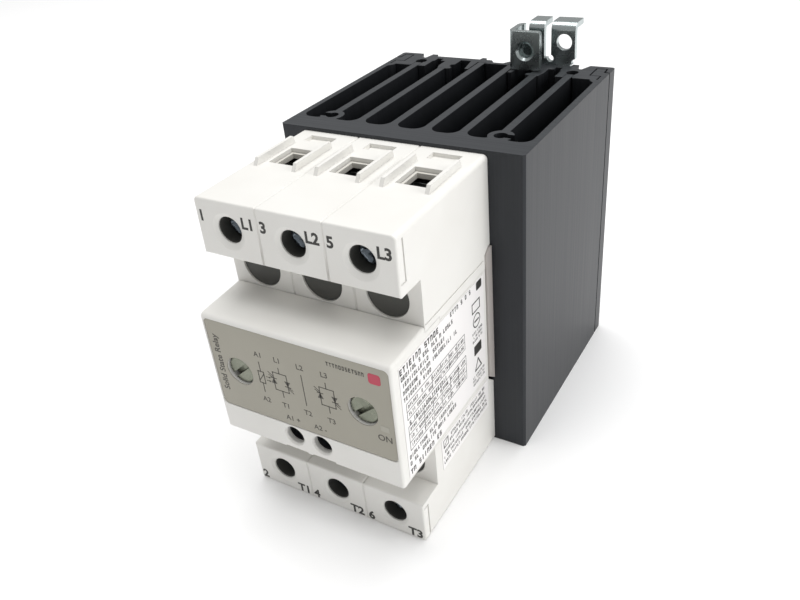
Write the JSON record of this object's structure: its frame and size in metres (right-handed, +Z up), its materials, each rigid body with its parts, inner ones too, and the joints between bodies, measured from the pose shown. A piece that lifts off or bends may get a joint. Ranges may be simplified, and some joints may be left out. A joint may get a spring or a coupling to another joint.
{
  "type": "solid state relay",
  "caption": "Solid state relay: white stepped housing on a black finned heatsink, with clamp screw terminals, control inputs, a grey facia and a sprung rail clip.",
  "frame": {"origin": "middle of the whole object's footprint, at the level of the heatsink's lower end", "axes": "+Z up along the heatsink extrusion, -Y the front with the terminal screws, +Y the rear with the rail clip, +X to the right of a person facing the front"},
  "size_m": [0.07, 0.1216, 0.1022],
  "materials": {
    "black_anodised_aluminium": "black anodised, matte with extrusion lines",
    "zinc_plated_sheet": "zinc plated sheet steel",
    "zinc_plated_screw": "zinc plated",
    "clamp_steel": "zinc plated, dull",
    "spring_wire": "bright spring steel",
    "thermal_foil": "soft grey foil",
    "frame_plastic": "moulded, fine grain",
    "alumina_ceramic": "fired alumina with copper cladding",
    "silicon_chip": "passivated silicon",
    "bare_copper": "bare copper",
    "tinned_copper": "tin plated copper",
    "brass": "bright brass",
    "board_laminate": "green solder mask",
    "black_epoxy": "black moulded",
    "varistor_enamel": "blue dipped coating",
    "capacitor_sleeve": "shrunk sleeve",
    "led_body": "clear green",
    "clear_acrylic": "clear acrylic",
    "carrier_plastic": "dark grey moulded",
    "guide_plastic": "light grey moulded",
    "housing_plastic": "white moulded polycarbonate, fine grain",
    "facia_foil": "warm grey printed foil",
    "label_paper": "white printed label",
    "printing_ink": "pad-printed black ink",
    "accent_ink": "printed red ink"
  },
  "bodies": {
    "base": {"heatsink_core": "black_anodised_aluminium", "heatsink_back_plate": "black_anodised_aluminium", "din_bracket": "zinc_plated_sheet", "bracket_screws": "zinc_plated_screw", "slider_guide_screws": "zinc_plated_screw", "din_spring": "spring_wire", "thermal_pad": "thermal_foil", "substrate_frame": "frame_plastic", "frame_screws": "zinc_plated_screw", "ceramic_substrates": "alumina_ceramic", "thyristor_chips": "silicon_chip", "bond_straps": "bare_copper", "gate_pins": "brass", "busbar_l1": "tinned_copper", "busbar_l3": "tinned_copper", "busbar_t1": "tinned_copper", "busbar_t3": "tinned_copper", "busbar_l2_t2": "tinned_copper", "control_board": "board_laminate", "optocouplers": "black_epoxy", "varistors": "varistor_enamel", "filter_capacitor": "capacitor_sleeve", "status_led": "led_body", "light_pipe": "clear_acrylic", "control_terminal_body": "black_epoxy", "control_contacts": "brass", "line_terminal_carrier": "carrier_plastic", "load_terminal_carrier": "carrier_plastic", "line_wire_guide": "guide_plastic", "load_wire_guide": "guide_plastic", "base_housing": "housing_plastic", "front_cover": "housing_plastic", "facia_label": "facia_foil", "rating_label": "label_paper", "caution_label": "label_paper", "housing_screws": "zinc_plated_screw"},
    "din_slider": {"din_slider": "zinc_plated_sheet"},
    "power_screw_1": {"power_screw_1": "zinc_plated_screw"},
    "power_clamp_1": {"power_clamp_1": "clamp_steel"},
    "power_screw_2": {"power_screw_2": "zinc_plated_screw"},
    "power_clamp_2": {"power_clamp_2": "clamp_steel"},
    "power_screw_3": {"power_screw_3": "zinc_plated_screw"},
    "power_clamp_3": {"power_clamp_3": "clamp_steel"},
    "power_screw_4": {"power_screw_4": "zinc_plated_screw"},
    "power_clamp_4": {"power_clamp_4": "clamp_steel"},
    "power_screw_5": {"power_screw_5": "zinc_plated_screw"},
    "power_clamp_5": {"power_clamp_5": "clamp_steel"},
    "power_screw_6": {"power_screw_6": "zinc_plated_screw"},
    "power_clamp_6": {"power_clamp_6": "clamp_steel"},
    "control_screw_a1": {"control_screw_a1": "zinc_plated_screw"},
    "control_clamp_a1": {"control_clamp_a1": "clamp_steel"},
    "control_screw_a2": {"control_screw_a2": "zinc_plated_screw"},
    "control_clamp_a2": {"control_clamp_a2": "clamp_steel"}
  },
  "joints": [
    {"name": "din_slider_pull", "type": "slide", "parent": "base", "child": "din_slider", "axis": [0, 0, -1], "range_m": [0, 0.0045], "stiffness_N_per_m": 2500, "springref_m": -0.003, "deforming": ["din_spring"]},
    {"name": "power_screw_1_turn", "type": "hinge", "parent": "base", "child": "power_screw_1", "pos_m": [-0.01913, -0.04125, 0.0817], "axis": [0, 1, 0], "range_deg": [0, 3060]},
    {"name": "power_clamp_1_lift", "type": "slide", "parent": "base", "child": "power_clamp_1", "axis": [0, -1, 0], "range_m": [0, 0.0068]},
    {"name": "power_screw_2_turn", "type": "hinge", "parent": "base", "child": "power_screw_2", "pos_m": [-0.01913, -0.04125, 0.0067], "axis": [0, 1, 0], "range_deg": [0, 3060]},
    {"name": "power_clamp_2_lift", "type": "slide", "parent": "base", "child": "power_clamp_2", "axis": [0, -1, 0], "range_m": [0, 0.0068]},
    {"name": "power_screw_3_turn", "type": "hinge", "parent": "base", "child": "power_screw_3", "pos_m": [-0.00126, -0.04125, 0.0817], "axis": [0, 1, 0], "range_deg": [0, 3060]},
    {"name": "power_clamp_3_lift", "type": "slide", "parent": "base", "child": "power_clamp_3", "axis": [0, -1, 0], "range_m": [0, 0.0068]},
    {"name": "power_screw_4_turn", "type": "hinge", "parent": "base", "child": "power_screw_4", "pos_m": [-0.00126, -0.04125, 0.0067], "axis": [0, 1, 0], "range_deg": [0, 3060]},
    {"name": "power_clamp_4_lift", "type": "slide", "parent": "base", "child": "power_clamp_4", "axis": [0, -1, 0], "range_m": [0, 0.0068]},
    {"name": "power_screw_5_turn", "type": "hinge", "parent": "base", "child": "power_screw_5", "pos_m": [0.01661, -0.04125, 0.0817], "axis": [0, 1, 0], "range_deg": [0, 3060]},
    {"name": "power_clamp_5_lift", "type": "slide", "parent": "base", "child": "power_clamp_5", "axis": [0, -1, 0], "range_m": [0, 0.0068]},
    {"name": "power_screw_6_turn", "type": "hinge", "parent": "base", "child": "power_screw_6", "pos_m": [0.01661, -0.04125, 0.0067], "axis": [0, 1, 0], "range_deg": [0, 3060]},
    {"name": "power_clamp_6_lift", "type": "slide", "parent": "base", "child": "power_clamp_6", "axis": [0, -1, 0], "range_m": [0, 0.0068]},
    {"name": "control_screw_a1_turn", "type": "hinge", "parent": "base", "child": "control_screw_a1", "pos_m": [-0.0055, -0.05325, 0.0304], "axis": [0, 1, 0], "range_deg": [0, 1080]},
    {"name": "control_clamp_a1_lift", "type": "slide", "parent": "base", "child": "control_clamp_a1", "axis": [0, -1, 0], "range_m": [0, 0.0015]},
    {"name": "control_screw_a2_turn", "type": "hinge", "parent": "base", "child": "control_screw_a2", "pos_m": [0.0028, -0.05325, 0.0304], "axis": [0, 1, 0], "range_deg": [0, 1080]},
    {"name": "control_clamp_a2_lift", "type": "slide", "parent": "base", "child": "control_clamp_a2", "axis": [0, -1, 0], "range_m": [0, 0.0015]}
  ],
  "couplings": [
    {"joint": "power_screw_1_turn", "follows": "power_clamp_1_lift", "rad_per_m": 7854},
    {"joint": "power_screw_2_turn", "follows": "power_clamp_2_lift", "rad_per_m": 7854},
    {"joint": "power_screw_3_turn", "follows": "power_clamp_3_lift", "rad_per_m": 7854},
    {"joint": "power_screw_4_turn", "follows": "power_clamp_4_lift", "rad_per_m": 7854},
    {"joint": "power_screw_5_turn", "follows": "power_clamp_5_lift", "rad_per_m": 7854},
    {"joint": "power_screw_6_turn", "follows": "power_clamp_6_lift", "rad_per_m": 7854},
    {"joint": "control_screw_a1_turn", "follows": "control_clamp_a1_lift", "rad_per_m": 12566},
    {"joint": "control_screw_a2_turn", "follows": "control_clamp_a2_lift", "rad_per_m": 12566}
  ]
}
